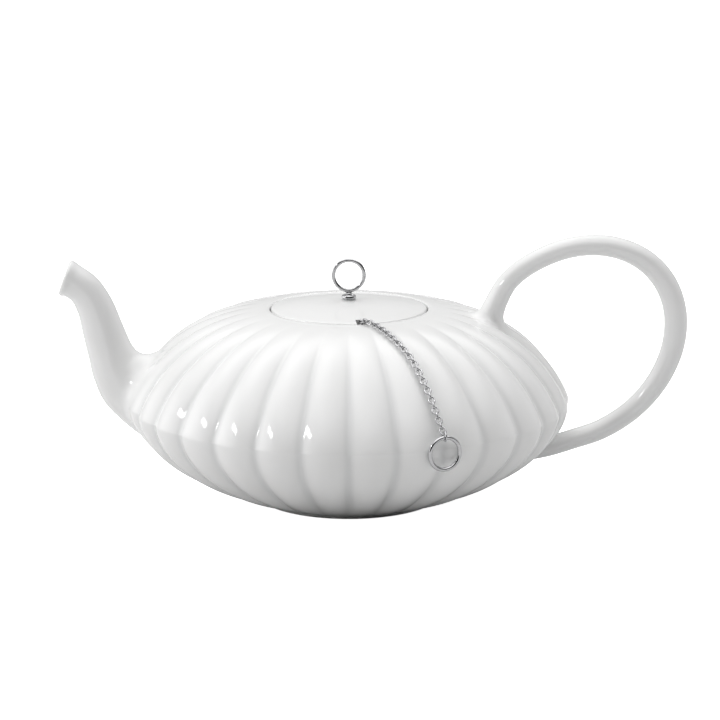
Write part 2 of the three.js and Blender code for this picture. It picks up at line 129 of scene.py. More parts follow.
def shade(mesh, sharp):
    """Smooth shading with edges left sharp where the faces meet at more than this angle."""
    b = bmesh.new()
    b.from_mesh(mesh)
    limit = math.radians(sharp)
    for edge in b.edges:
        edge.smooth = len(edge.link_faces) == 2 and edge.calc_face_angle(0) < limit
    for face in b.faces:
        face.smooth = True
    b.to_mesh(mesh)
    b.free()


def tube_faces(rows, columns, first=0, closed=False):
    """Faces between rows of points that close round on themselves."""
    rings = rows if closed else rows - 1
    i, j = np.meshgrid(np.arange(rings), np.arange(columns), indexing="ij")
    i2, j2 = (i + 1) % rows, (j + 1) % columns
    grid = np.stack([i * columns + j, i * columns + j2, i2 * columns + j2, i2 * columns + j], -1)
    return (grid.reshape(-1, 4) + first).tolist()


def capped(rows):
    """A closed tube from rows of points, each end drawn together in its middle."""
    rows = np.asarray(rows, float)
    count, columns = rows.shape[:2]
    points = np.vstack([rows.reshape(-1, 3), rows[0].mean(0), rows[-1].mean(0)])
    faces = tube_faces(count, columns)
    base, start, end = (count - 1) * columns, count * columns, count * columns + 1
    for j in range(columns):
        k = (j + 1) % columns
        faces.append((start, k, j))
        faces.append((end, base + j, base + k))
    return points, faces


def turned(profile, columns, closed=False):
    """A body of revolution from [radius, height] pairs; an open profile ends on the axis."""
    profile = np.asarray(profile, float)
    angle = np.arange(columns) * 2 * math.pi / columns
    rows = np.stack(
        [
            profile[:, :1] * np.cos(angle),
            profile[:, :1] * np.sin(angle),
            np.repeat(profile[:, 1:2], columns, axis=1),
        ],
        -1,
    )
    if closed:
        return rows.reshape(-1, 3), tube_faces(len(profile), columns, closed=True)
    return capped(rows)


def eased(corners, steps=4):
    """A line of [a, b, radius] corners with each corner rounded over that distance."""
    corners = [tuple(c) + (0,) * (3 - len(c)) for c in corners]
    out = []
    for i, (a, b, radius) in enumerate(corners):
        here = np.array([a, b], float)
        if not radius or i in (0, len(corners) - 1):
            out.append(here)
            continue
        ends = []
        for other in (corners[i - 1], corners[i + 1]):
            way = np.array(other[:2], float) - here
            ends.append(here + way * min(radius / np.linalg.norm(way), 0.48))
        for w in np.linspace(0, 1, steps + 1):
            out.append((1 - w) ** 2 * ends[0] + 2 * w * (1 - w) * here + w**2 * ends[1])
    return np.array(out)


def eased_loop(corners, steps=4):
    """The same for a closed outline."""
    wrapped = [corners[-1], *corners, corners[0]]
    line = eased(wrapped, steps)
    return line[1:-1]


def boolean(target, operation, *tools):
    """Cuts or joins these meshes into the target and removes them."""
    for tool in tools:
        modifier = target.modifiers.new("join", "BOOLEAN")
        modifier.operation, modifier.object, modifier.solver = operation, tool, "MANIFOLD"
        graph = bpy.context.evaluated_depsgraph_get()
        mesh = bpy.data.meshes.new_from_object(target.evaluated_get(graph))
        target.modifiers.clear()
        old, target.data = target.data, mesh
        bpy.data.meshes.remove(old)
        bpy.data.objects.remove(tool)
    return target


def copy_of(made):
    other = made.copy()
    other.data = made.data.copy()
    bpy.context.scene.collection.objects.link(other)
    return other


WELD_SPREAD = 0.07  # radians


def wire_ring(radius, wire, around, across, weld=0.0):
    """A ring of round wire in the XY plane, with a slight swelling at its weld."""
    a = np.arange(around) * 2 * math.pi / around
    b = np.arange(across) * 2 * math.pi / across
    from_weld = np.minimum(a, 2 * math.pi - a)
    thick = wire * (1 + weld * np.exp(-((from_weld / WELD_SPREAD) ** 2)))
    r = radius + thick[:, None] * np.cos(b)
    rows = np.stack([r * np.cos(a)[:, None], r * np.sin(a)[:, None], thick[:, None] * np.sin(b)], -1)
    return rows.reshape(-1, 3), tube_faces(around, across, closed=True)


def merged(parts):
    """Several point and face lists as one."""
    points, faces, first = [], [], 0
    for p, f in parts:
        points.append(p)
        faces += [[i + first for i in face] for face in f]
        first += len(p)
    return np.vstack(points), faces


def turn(axis, angle_degrees):
    return np.array(Matrix.Rotation(math.radians(angle_degrees), 3, axis))


# ---- materials ----
def material(name, **values):
    """A material with these values on its Principled BSDF."""
    made = bpy.data.materials.new(name)
    made.use_nodes = True
    tree = made.node_tree
    shader = tree.nodes["Principled BSDF"]
    for socket, value in values.items():
        shader.inputs[socket.replace("_", " ")].default_value = value
    return made, tree, shader


def node(tree, kind, **settings):
    """A node with these properties and input values set."""
    made = tree.nodes.new(kind)
    for key, value in settings.items():
        if hasattr(made, key):
            setattr(made, key, value)
        else:
            made.inputs[key.replace("_", " ")].default_value = value
    return made


def object_noise(tree, scale, detail=3, stretch=(1, 1, 1)):
    """Noise fixed to the piece; the scale is in waves to the metre."""
    place_at = node(tree, "ShaderNodeTexCoord")
    mapping = node(tree, "ShaderNodeMapping")
    mapping.inputs["Scale"].default_value = stretch
    noise = node(tree, "ShaderNodeTexNoise", Scale=scale, Detail=detail)
    tree.links.new(place_at.outputs["Object"], mapping.inputs["Vector"])
    tree.links.new(mapping.outputs["Vector"], noise.inputs["Vector"])
    return noise.outputs["Fac"]


def ranged(tree, source, low, high, from_low=0.3, from_high=0.7, curve="LINEAR"):
    """The source from `from_low` to `from_high` as values from `low` to `high`."""
    made = node(tree, "ShaderNodeMapRange", interpolation_type=curve)
    for name, value in (
        ("From Min", from_low), ("From Max", from_high), ("To Min", low), ("To Max", high),
    ):
        made.inputs[name].default_value = value
    tree.links.new(source, made.inputs["Value"])
    return made.outputs["Result"]


def blended(tree, factor, first, second):
    """One colour into another; each is a colour or a socket."""
    mix = node(tree, "ShaderNodeMix", data_type="RGBA")
    for socket, value in (("A", first), ("B", second)):
        target = [s for s in mix.inputs if s.name == socket and s.type == "RGBA"][0]
        if isinstance(value, (tuple, list)):
            target.default_value = (*value, 1)
        else:
            tree.links.new(value, target)
    tree.links.new(factor, mix.inputs["Factor"])
    return [s for s in mix.outputs if s.type == "RGBA"][0]


def relief(tree, shader, source, distance, strength):
    bump = node(tree, "ShaderNodeBump", Strength=strength, Distance=distance)
    tree.links.new(source, bump.inputs["Height"])
    tree.links.new(bump.outputs["Normal"], shader.inputs["Normal"])


def porcelain_material():
    """White glaze over porcelain. The creases are painted darker as shade, and the foot ring is bare
    clay.
    """
    made, tree, shader = material("porcelain_glaze", IOR=1.6)
    links = tree.links
    shade_noise = object_noise(tree, 28, 4)
    fine_noise = object_noise(tree, 900, 2)
    crease_shade = node(tree, "ShaderNodeAttribute", attribute_name="painted_crease_shade").outputs["Fac"]
    bare = node(tree, "ShaderNodeAttribute", attribute_name="bare_clay").outputs["Fac"]
    body = blended(tree, ranged(tree, shade_noise, 0, 1), (0.83, 0.83, 0.825), (0.86, 0.86, 0.858))
    # painted shade: the glaze is blended to a darker grey in the creases
    body = blended(tree, ranged(tree, crease_shade, 0, 0.75, 0, 1), body, (0.70, 0.705, 0.705))
    clay = blended(tree, ranged(tree, fine_noise, 0, 1), (0.70, 0.68, 0.64), (0.80, 0.78, 0.74))
    links.new(blended(tree, bare, body, clay), shader.inputs["Base Color"])
    gloss = ranged(tree, object_noise(tree, 60, 3), 0.045, 0.085)
    rough = node(tree, "ShaderNodeMix", data_type="FLOAT")
    links.new(bare, rough.inputs["Factor"])
    links.new(gloss, rough.inputs[2])
    rough.inputs[3].default_value = 0.75
    links.new(rough.outputs[0], shader.inputs["Roughness"])
    ripple = object_noise(tree, 240, 2)
    relief(tree, shader, ripple, 0.00002, 0.6)
    return made


def steel_material(name, tone, low, high, scratch, distance):
    """Stainless steel: `low` to `high` roughness, with fine scratches drawn out along Z."""
    made, tree, shader = material(name, Metallic=1.0)
    cloud = object_noise(tree, 400, 3)
    lines = object_noise(tree, 2600, 2, scratch)
    colour = blended(tree, ranged(tree, cloud, 0, 1), tone, [c * 0.9 for c in tone])
    tree.links.new(colour, shader.inputs["Base Color"])
    tree.links.new(ranged(tree, lines, low, high), shader.inputs["Roughness"])
    relief(tree, shader, lines, distance, 0.5)
    return made


def silicone_material():
    made, tree, shader = material("silicone", IOR=1.41, Transmission_Weight=0.25)
    cloud = object_noise(tree, 500, 3)
    colour = blended(tree, ranged(tree, cloud, 0, 1), (0.80, 0.81, 0.81), (0.88, 0.89, 0.89))
    tree.links.new(colour, shader.inputs["Base Color"])
    tree.links.new(ranged(tree, cloud, 0.38, 0.55), shader.inputs["Roughness"])
    relief(tree, shader, object_noise(tree, 3000, 2), 0.00001, 0.5)
    return made


PORCELAIN = porcelain_material()
POLISHED = steel_material("polished_steel", (0.54, 0.54, 0.55), 0.03, 0.13, (1, 1, 0.08), 0.000003)
PRESSED = steel_material("pressed_steel", (0.66, 0.665, 0.67), 0.2, 0.38, (1, 1, 0.15), 0.000008)
SILICONE = silicone_material()
FINISHES = {
    "porcelain": PORCELAIN,
    "polished_steel": POLISHED,
    "pressed_steel": PRESSED,
    "silicone": SILICONE,
}


def finished(made, body, slot, *nodes):
    """Gives a piece its finish and its CAD body, and hides the CAD nodes it stands for."""
    made.data.materials.clear()
    made.data.materials.append(FINISHES[slot])
    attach(made, body)
    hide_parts(*nodes)
    return made


# ---- chain ----
LINK_WIRE, LINK_WIDTH, LINK_LENGTH, LINK_PITCH = 0.36, 3.1, 3.95, 2.42
STUB_LINKS = 3
RING_RADIUS, RING_WIRE = 6.9, 0.9
WIRE_GAP = 0.1  # between wires that hang in each other
JUMP_RADIUS, JUMP_WIRE = 1.85, 0.35
CHAIN_ROUTE = [
    (5.1, -30.4, 81.9),
    (5.3, -31.6, 85.2),
    (5.7, -33.9, 87.9),
    (7, -36.4, 88.7),
    (10.1, -39.3, 88.3),
    (13.1, -44.4, 87.6),
    (18.5, -54, 85.4),
    (23.5, -62.1, 82),
    (27.4, -68.8, 78.1),
    (31, -75.7, 72.4),
    (34.3, -81.5, 65.9),
    (37, -86.8, 59.1),
    (39.9, -91.9, 51.7),
]


def oval_link():
    """One link with its length along X, flat in the plane XY."""
    points, faces = wire_ring((LINK_WIDTH - 2 * LINK_WIRE) / 2, LINK_WIRE, 24, 10)
    points[:, 0] += np.tanh(points[:, 0] / 0.25) * (LINK_LENGTH - LINK_WIDTH) / 2
    return points, faces


def link_row(centres, alongs, first_twist=-45):
    """Links at these middles, each a quarter turn from the one before it."""
    shape, faces = oval_link()
    across = np.array([1.0, 0, 0])
    out = []
    for i, (centre, along) in enumerate(zip(centres, alongs)):
        across = across - along * np.dot(across, along)
        across /= np.linalg.norm(across)
        basis = np.column_stack([along, across, np.cross(along, across)])
        twist = turn("X", first_twist if i % 2 == 0 else -first_twist)
        out.append((shape @ (basis @ twist).T + centre, faces))
    return out


run_length = spaced(CHAIN_ROUTE, [0])[1]
link_count = int(run_length / LINK_PITCH)
hooks = spaced(CHAIN_ROUTE, np.arange(link_count + 1) * LINK_PITCH)[0]
steps = np.diff(hooks, axis=0)
alongs = steps / np.linalg.norm(steps, axis=1)[:, None]
outer_links = link_row((hooks[:-1] + hooks[1:]) / 2, alongs)
link_names = [f"chain_link_{i + 1:02d}" for i in range(link_count)]

notch_chain = piece("notch_chain", *merged(outer_links[:STUB_LINKS]), sharp=180)
finished(notch_chain, "pot", "polished_steel", *link_names[:STUB_LINKS])
outer_chain = piece("outer_chain", *merged(outer_links[STUB_LINKS:]), sharp=180)
finished(outer_chain, "outer_chain", "polished_steel", *link_names[STUB_LINKS:])

# The last link, a jump ring and the pull ring hang in each other.
LINK_HOOK = LINK_PITCH / 2 - (LINK_LENGTH / 2 - LINK_WIRE)
last_hook, last_along = hooks[-1], alongs[-1]
pull_bearing = math.degrees(math.atan2(last_hook[0], -last_hook[1]))
jump_middle = last_hook + last_along * (JUMP_RADIUS + LINK_HOOK)
pull_hook = 2 * JUMP_RADIUS + LINK_HOOK - JUMP_WIRE - RING_WIRE - WIRE_GAP
pull_middle = last_hook + last_along * pull_hook - np.array([0, 0, RING_RADIUS])

jump_points, jump_faces = wire_ring(JUMP_RADIUS, JUMP_WIRE, 40, 12, weld=0.15)
jump_points = jump_points @ (turn("Z", pull_bearing) @ turn("Y", 90)).T + jump_middle
pull_jump_ring = piece("pull_jump_ring", jump_points, jump_faces, sharp=180)
finished(pull_jump_ring, "outer_chain", "polished_steel", "pull_jump_ring")

ring_points, ring_faces = wire_ring(RING_RADIUS, RING_WIRE, 120, 20, weld=0.07)
upright = turn("X", 90)
pull_points = ring_points @ (turn("Z", pull_bearing) @ upright).T + pull_middle
pull_ring = piece("pull_ring", pull_points, ring_faces, sharp=180)
finished(pull_ring, "pull_ring", "polished_steel", "pull_ring")

free_hooks = hooks[STUB_LINKS:]
tuple(place(free_hooks[0]))
round(float(np.linalg.norm(np.diff(free_hooks, axis=0), axis=1).sum()) * MM, 4)
[tuple(p) for p in place(free_hooks)]

# ---- the gadrooned body ----
BELLY_RADIUS, BELLY_LEVEL = 100, 45
CROWN = (42.65, 3.84, 1.23)  # height, power of the radius, power of the height
KEEL = (50.2, 1.75, 1.83)
WALL = 4
LOBES, LOBE_DEPTH = 30, 2.4
CREASE_WIDTH = 0.15  # share of half a lobe that is rounded at the bottom of the crease


def outline(shape, degrees_from_belly, inset=0.0):
    """Radius, height and outward normal of the body's outline."""
    height, radial, vertical = shape
    angle = np.radians(degrees_from_belly)
    radius = BELLY_RADIUS * np.cos(angle) ** (2 / radial)
    rise = height * np.sin(angle) ** (2 / vertical)
    slope_r = radial / BELLY_RADIUS * (radius / BELLY_RADIUS) ** (radial - 1)
    slope_z = vertical / height * (rise / height) ** (vertical - 1)
    size = np.hypot(slope_r, slope_z)
    sign = 1 if shape is CROWN else -1
    return np.stack(
        [
            radius - inset * slope_r / size,
            BELLY_LEVEL + sign * (rise - inset * slope_z / size),
            slope_r / size,
            sign * slope_z / size,
        ],
        -1,
    )


def full_outline(lower_from, upper_to, inset=0.0, steps=3000):
    """The whole outline from under the belly to above it."""
    lower = outline(KEEL, np.linspace(lower_from, 0, steps), inset)
    upper = outline(CROWN, np.linspace(0, upper_to, steps), inset)
    return np.vstack([lower[:-1], upper])


def respaced(line, distances):
    """The line's rows at these distances along it."""
    run = np.concatenate([[0], np.cumsum(np.hypot(*np.diff(line[:, :2], axis=0).T))])
    return np.stack([np.interp(distances, run, line[:, k]) for k in range(line.shape[1])], -1)


def lobe_depth(radius, upper):
    """The lobes' depth, which fades out towards the lid and towards the foot."""
    return LOBE_DEPTH * np.where(upper, smoothstep(radius, 42, 84), smoothstep(radius, 47, 86))


def lobe_drop(across):
    """How far the surface falls from the lobe's crown, 0 at the crown to about 1 in the crease."""
    a, w = np.abs(across), CREASE_WIDTH
    t = np.clip((a - (1 - w)) / w, 0, 1)
    return np.where(a < 1 - w, a**2, (1 - w) ** 2 + 2 * (1 - w) * w * (t - t**2 / 2))


def across_lobe(bearing):
    """-1 and 1 in the creases on each side of a lobe, 0 on its crown."""
    return 2 * ((bearing * LOBES / (2 * math.pi) + 2 * LOBES) % 1) - 1


LOWER_FROM, UPPER_TO = 61.2, 84.0  # degrees from the belly, to the foot and to the shoulder
OUTLINE = full_outline(LOWER_FROM, UPPER_TO)
ridge_run = np.hypot(*np.diff(full_outline(LOWER_FROM, 0.01)[:, :2], axis=0).T).sum()
whole_run = np.hypot(*np.diff(OUTLINE[:, :2], axis=0).T).sum()
FINE, COARSE, RIDGE_BAND = 0.6, 1.7, 5  # row spacing near the ridge and elsewhere
below, above = ridge_run - RIDGE_BAND, ridge_run + RIDGE_BAND
row_runs = np.unique(
    np.concatenate(
        [
            np.linspace(0, below, int(below / COARSE)),
            np.linspace(below, above, int(2 * RIDGE_BAND / FINE) + 1),
            np.linspace(above, whole_run, int((whole_run - above) / COARSE)),
        ]
    ).round(4)
)
half = np.array([0.2, 0.4, 0.58, 0.72, 0.82, 0.88, 0.93, 0.97])  # closer towards the crease
across_steps = np.concatenate([[-1], -half[::-1], [0], half])
bearings = (
    (np.arange(LOBES)[:, None] + (across_steps[None, :] + 1) / 2).reshape(-1) * 2 * math.pi / LOBES
)


def body_points(rows):
    """Rows of points of the lobed body from rows of the outline."""
    radius, height, nr, nz = (rows[:, k][:, None] for k in range(4))
    drop = lobe_depth(radius, height >= BELLY_LEVEL) * lobe_drop(across_lobe(bearings))[None, :]
    moved = radius - drop * nr
    level = height - drop * nz
    return np.stack([moved * np.sin(bearings), -moved * np.cos(bearings), level], -1)


def level_row(radius, height):
    return np.stack(
        [radius * np.sin(bearings), -radius * np.cos(bearings), np.full(len(bearings), height)], -1
    )


foot = eased(
    [
        (30, 2.4),
        (38.4, 2.4, 0.8),
        (39.5, 0, 0.5),
        (42.4, 0, 0.5),
        (43.0, 0.9, 0.5),
        (43.4, 1.5),
    ]
)
body_rows = np.concatenate(
    [
        np.stack([level_row(r, z) for r, z in foot[:-1]]),
        body_points(respaced(OUTLINE, row_runs)),
        np.stack([level_row(20, 87.25)]),
    ]
)
pot = piece("pot", *capped(body_rows), sharp=180)

# Spout and handle: a centre line with two radii, in the plane Y = 0.
SPOUT = [
    (-78, 44, 17, 15),
    (-90, 46, 16.4, 14.4),
    (-99.5, 51.3, 14.4, 12.6),
    (-104.9, 58.6, 12, 11),
    (-108.2, 66.8, 10.2, 9.8),
    (-111.3, 76.9, 9.3, 9),
    (-114.4, 87, 8.4, 8.2),
    (-118.9, 95, 7.8, 7.7),
    (-124.6, 99.4, 7.8, 7.7),
    (-131.5, 102.3, 8.9, 8.4),
]
SPOUT_WALL = 2.4
HOLE_RADIUS, HOLE_HALF, HOLE_MIDDLE = 7.5, 9, np.array([-95, 0, 50])
FLOOR_LEVEL = 6.2  # inside the pot
LIP, BEAD = 1.3, 0.4  # radius of the mouth's edge, and how far it stands out
MOUTH_OUT = np.array([-math.cos(math.radians(20)), 0, math.sin(math.radians(20))])
MOUTH = np.array([-128.3, 0, 100.7]) - LIP * MOUTH_OUT


def handle_sections():
    """The handle's loop is a leaning oval, with a foot at the shoulder and one at the underside."""
    x, z, long, short, lean = 101.6, 70.2, 50, 41.4, math.radians(41.3)
    loop = []
    for turned_by in range(92, -109, -20):
        out = long * math.cos(math.radians(turned_by))
        up = short * math.sin(math.radians(turned_by))
        swell = 0.65 * max(0, math.cos(math.radians(turned_by + 25))) ** 2
        loop.append((
            x + out * math.cos(lean) - up * math.sin(lean),
            z + out * math.sin(lean) + up * math.cos(lean),
            4.6 + swell, 5.1 + swell,
        ))
    return [
        (62, 76, 6.6, 7.6),
        (66.6, 89.5, 5, 5.8),
        *loop,
        (101.5, 25.2, 4.5, 5.4),
        (89.4, 21.6, 4.5, 6),
        (72, 19, 4.6, 7),
    ]


HANDLE = handle_sections()


def nearest_of(points, line):
    """The line's nearest sample to each point."""
    found = np.zeros(len(points), int)
    for start in range(0, len(points), 4000):
        gap = ((points[start : start + 4000, None, :] - line[None]) ** 2).sum(-1)
        found[start : start + 4000] = gap.argmin(1)
    return found


class Bar:
    """A bar of oval section along a centre line."""

    def __init__(self, sections, samples=400):
        sections = np.asarray(sections, float)
        self.t = np.linspace(0, 1, samples)
        self.middle = through(np.insert(sections[:, :2], 1, 0, axis=1), self.t)
        radii = np.column_stack([sections[:, 2:], np.zeros(len(sections))])
        self.radii = through(radii, self.t)[:, :2]
        along = np.gradient(self.middle, axis=0)
        self.along = along / np.linalg.norm(along, axis=1)[:, None]

    def sampled(self, where, marks):
        """The centre line, its direction and the radii where they are asked for between the marks."""
        return (
            np.stack([np.interp(where, marks, source[:, k]) for k in range(source.shape[1])], -1)
            for source in (self.middle, self.along, self.radii)
        )

    def at(self, t, angle, grown=0.0):
        """Surface points at t and an angle round the section, 0 in the plane of the bar."""
        middle, along, radii = self.sampled(t, self.t)
        in_plane = (radii[..., 0] + grown) * np.cos(angle)
        sideways = (radii[..., 1] + grown) * np.sin(angle)
        return np.stack(
            [
                middle[..., 0] - along[..., 2] * in_plane,
                sideways,
                middle[..., 2] + along[..., 0] * in_plane,
            ],
            -1,
        )

    def distance(self, points):
        """Signed distance to the bar's surface, near enough for blending."""
        nearest = nearest_of(points[:, [0, 2]], self.middle[:, [0, 2]])
        gap = np.linalg.norm(np.gradient(self.middle, axis=0), axis=1)
        slip = ((points - self.middle[nearest]) * self.along[nearest]).sum(1)
        place_on = np.clip(nearest + slip / gap[nearest], 0, len(self.t) - 1)
        middle, along, radii = self.sampled(place_on, np.arange(len(self.t)))
        offset = points - middle
        in_plane = -offset[:, 0] * along[:, 2] + offset[:, 2] * along[:, 0]
        reach = np.maximum(np.hypot(in_plane, offset[:, 1]), 1e-9)
        a, b = radii.T
        return reach - 1 / np.sqrt((in_plane / reach / a) ** 2 + (offset[:, 1] / reach / b) ** 2)


spout_bar, handle_bar = Bar(SPOUT), Bar(HANDLE)


def mouth_end(bar, angles, grown):
    """Where each line along the bar meets the plane of the mouth."""
    low, high = np.full(len(angles), 0.7), np.full(len(angles), 1.0)
    for _ in range(40):
        middle = (low + high) / 2
        past = (bar.at(middle, angles, grown) - MOUTH) @ MOUTH_OUT > 0
        high, low = np.where(past, middle, high), np.where(past, low, middle)
    return (low + high) / 2


def spout_solid(grown, lip_way, first, beyond):
    """The spout's outside, or the hollow inside it, with its half of the rounded lip."""
    angles = np.arange(56) * 2 * math.pi / 56
    end = mouth_end(spout_bar, angles, grown)
    rows = []
    for s in np.linspace(0, 1, 130):
        bead = BEAD * smoothstep(s, 0.95, 1) if grown == 0 else 0
        rows.append(spout_bar.at(first + (end - first) * s, angles, grown + bead))
    edge = rows[-1]
    outward = edge - edge.mean(0)
    outward -= np.outer(outward @ MOUTH_OUT, MOUTH_OUT)
    outward /= np.linalg.norm(outward, axis=1)[:, None]
    for a in np.radians(np.linspace(18, 90, 5)):
        rows.append(edge + MOUTH_OUT * LIP * math.sin(a) + outward * lip_way * (1 - math.cos(a)))
    if beyond:
        rows.append(rows[-1] + MOUTH_OUT * beyond)
    return capped(rows)


spout_outside = piece("spout_outside", *spout_solid(0, -LIP, 0, 0), sharp=180)
angles = np.arange(36) * 2 * math.pi / 36
handle_outside = piece(
    "handle_outside", *capped([handle_bar.at(t, angles) for t in np.linspace(0, 1, 260)]), sharp=180
)
plain_body = copy_of(pot)
boolean(pot, "UNION", spout_outside, handle_outside)


# The spout and the handle run into the body in a soft hollow, as luted clay under glaze does.
BODY_LINE = respaced(OUTLINE, np.arange(0, whole_run, 0.3))


def body_distance(points):
    """Signed distance to the lobed body's outside, near enough for blending."""
    flat = np.stack([np.hypot(points[:, 0], points[:, 1]), points[:, 2]], -1)
    line = BODY_LINE[:, :2]
    nearest = np.clip(nearest_of(flat, line), 1, len(line) - 2)
    away, found = np.full(len(points), np.inf), line[nearest]
    for start in (nearest - 1, nearest):
        way = line[start + 1] - line[start]
        share = np.clip(((flat - line[start]) * way).sum(1) / (way**2).sum(1), 0, 1)
        foot_point = line[start] + way * share[:, None]
        gap = np.hypot(*(flat - foot_point).T)
        found = np.where((gap < away)[:, None], foot_point, found)
        away = np.minimum(away, gap)
    inside = ((flat - found) * BODY_LINE[nearest, 2:]).sum(1) < 0
    away = np.where(inside, -away, away)
    across = across_lobe(np.arctan2(points[:, 0], -points[:, 1]))
    return away + lobe_depth(found[:, 0], found[:, 1] >= BELLY_LEVEL) * lobe_drop(across)


def spout_softness(points):
    return 9 + 3 * smoothstep(points[:, 2], 45, 68)


def handle_softness(points):
    return 4 + 1.5 * smoothstep(points[:, 2], 35, 60)


def joined_field(bar, softness):
    """Distance to the body and a bar run together over this softness."""

    def field(points):
        body, other, k = body_distance(points), bar.distance(points), softness(points)
        h = np.clip(0.5 + 0.5 * (other - body) / k, 0, 1)
        return other * (1 - h) + body * h - k * h * (1 - h)

    return field


def slope_of(field, points, step=0.25):
    """The field's gradient, from points a step to each side."""
    return np.stack(
        [
            (field(points + step * axis) - field(points - step * axis)) / (2 * step)
            for axis in np.eye(3)
        ],
        -1,
    )


def coordinates(mesh):
    """The mesh's points in millimetres from the pot's axis."""
    flat = np.empty(len(mesh.vertices) * 3)
    mesh.vertices.foreach_get("co", flat)
    return (flat.reshape(-1, 3) - np.array([AXIS_X, 0, 0])) / MM


JOINTS = (
    (spout_bar, spout_softness, lambda p: p[:, 0] < -60),
    (handle_bar, handle_softness, lambda p: p[:, 0] > 45),
)


SETTLING_STEPS, LARGEST_MOVE = 7, 2.0
SKIN_GAP = 0.15  # points nearer to the blended shape than this are on its skin


def near_joint(points, bar, softness, side, margin=1.0):
    """Which points lie where the body and the bar run together."""
    chosen = np.flatnonzero(side(points))
    near = points[chosen]
    body, other, k = body_distance(near), bar.distance(near), softness(near)
    keep = (np.abs(body - other) < k * margin) & (np.maximum(body, other) < k) & (body > -3)
    return chosen[keep]


points = coordinates(pot.data)
for bar, softness, side in JOINTS:
    chosen = near_joint(points, bar, softness, side)
    moving = points[chosen]
    field = joined_field(bar, softness)
    for _ in range(SETTLING_STEPS):
        value, slope = field(moving), slope_of(field, moving)
        size = np.maximum((slope**2).sum(1), 0.2)
        move = -(value / size)[:, None] * slope
        reach = np.linalg.norm(move, axis=1)
        move *= np.minimum(1, LARGEST_MOVE / np.maximum(reach, 1e-9))[:, None]
        moving = moving + move
    points[chosen] = moving
pot.data.vertices.foreach_set("co", place(points).astype(np.float32).reshape(-1))
pot.data.update()

# The hollow, the seat for the lid, the spout's bore and the hole between them.
inner = full_outline(58, 72, WALL)
inner_run = np.hypot(*np.diff(inner[:, :2], axis=0).T).sum()
inner_rows = respaced(inner, np.linspace(0, inner_run, 60))[:, :2]
inner_rows[:, 1] = np.maximum(inner_rows[:, 1], FLOOR_LEVEL)
SEAT = [
    (36.5, 77.4, 1.5),
    (32.5, 77.4, 1.2),
    (32.5, 83.2, 0.7),
    (35.7, 83.2, 0.4),
    (35.7, 87.0, 1.1),
    (38.0, 87.05),
    (38.0, 96),
]
seat_line = eased([tuple(inner_rows[-1]), *SEAT], 5)[1:]
hollow = piece("hollow", *turned(np.vstack([inner_rows, seat_line]), 160), sharp=180)
bore = piece("bore", *spout_solid(-SPOUT_WALL, LIP + 0.1, 0.0, 4), sharp=180)
boolean(bore, "DIFFERENCE", plain_body)
drill_points, drill_faces = turned([(HOLE_RADIUS, -HOLE_HALF), (HOLE_RADIUS, HOLE_HALF)], 40)
drill = piece("drill", drill_points @ turn("Y", 90).T + HOLE_MIDDLE, drill_faces)
boolean(pot, "DIFFERENCE", hollow, bore, drill)
shade(pot.data, 38)

# Normals of the soft hollows come from the blended shape, so the cut triangles don't show.
points = coordinates(pot.data)
normals = np.empty(len(pot.data.loops) * 3)
pot.data.corner_normals.foreach_get("vector", normals)
normals = normals.reshape(-1, 3)
corner_vertex = np.empty(len(pot.data.loops), int)
pot.data.loops.foreach_get("vertex_index", corner_vertex)
for bar, softness, side in JOINTS:
    chosen = near_joint(points, bar, softness, side, 1.05)
    field = joined_field(bar, softness)
    chosen = chosen[np.abs(field(points[chosen])) < SKIN_GAP]
    slope = slope_of(field, points[chosen])
    slope /= np.linalg.norm(slope, axis=1)[:, None]
    new = np.zeros((len(points), 3))
    new[chosen] = slope
    picked = np.zeros(len(points), bool)
    picked[chosen] = True
    corner = np.flatnonzero(picked[corner_vertex])
    corner = corner[(normals[corner] * new[corner_vertex[corner]]).sum(1) > 0.5]
    normals[corner] = new[corner_vertex[corner]]
pot.data.normals_split_custom_set(normals.tolist())


def add_attribute(mesh, name, values):
    made = mesh.attributes.new(name, "FLOAT", "POINT")
    made.data.foreach_set("value", np.asarray(values, np.float32))


radius = np.hypot(points[:, 0], points[:, 1])
across = np.abs(across_lobe(np.arctan2(points[:, 0], -points[:, 1])))
depth = lobe_depth(radius, points[:, 2] >= BELLY_LEVEL) / LOBE_DEPTH
skin = (np.abs(body_distance(points)) < 0.4).astype(float)
# painted shade in the creases, darkest where the lobes are deepest
add_attribute(pot.data, "painted_crease_shade", smoothstep(across, 0.65, 1.0) * depth**2 * skin)
add_attribute(pot.data, "bare_clay", 1 - smoothstep(points[:, 2], 0.05, 0.5))
finished(pot, "pot", "porcelain", "pot_body", "spout", "handle")

# ---- lid and knob ----
LID_RADIUS, LID_RIM, LID_CROWN, LID_THICK = 35.2, 87.1, 90.6, 4
NOTCH_BEARING, NOTCH_HALF = 9.5, 2.3  # degrees from the front, and half its width
KNOB_RING_LEVEL = 101.8


def lid_top(r):
    return LID_CROWN - (LID_CROWN - LID_RIM) * (r / LID_RADIUS) ** 2


top_radii = np.concatenate([[2.0], np.linspace(3, 33.6, 28)])
lid_edge = [
    (33.6, lid_top(33.6)),
    (LID_RADIUS, LID_RIM, 1.1),
    (LID_RADIUS, 83.5, 0.5),
    (31.8, 83.5, 0.4),
    (31.8, 76.6, 0.9),
    (28.6, 76.6, 0.9),
    (28.6, 83.2, 1.5),
    (20, lid_top(20) - LID_THICK),
]
lid_line = np.vstack(
    [
        [(r, lid_top(r)) for r in top_radii],
        eased(lid_edge, 6)[1:-1],
        [(r, lid_top(r) - LID_THICK) for r in np.linspace(20, 2, 12)],
    ]
)
lid = piece("lid_porcelain", *turned(lid_line, 192, closed=True), sharp=180)
NOTCH = [(27.4, 74.6), (27.4, 81.2), (31.9, 90), (38, 90), (38, 74.6)]
notch_points = [(r, side * NOTCH_HALF, z) for side in (-1, 1) for r, z in NOTCH]
count = len(NOTCH)
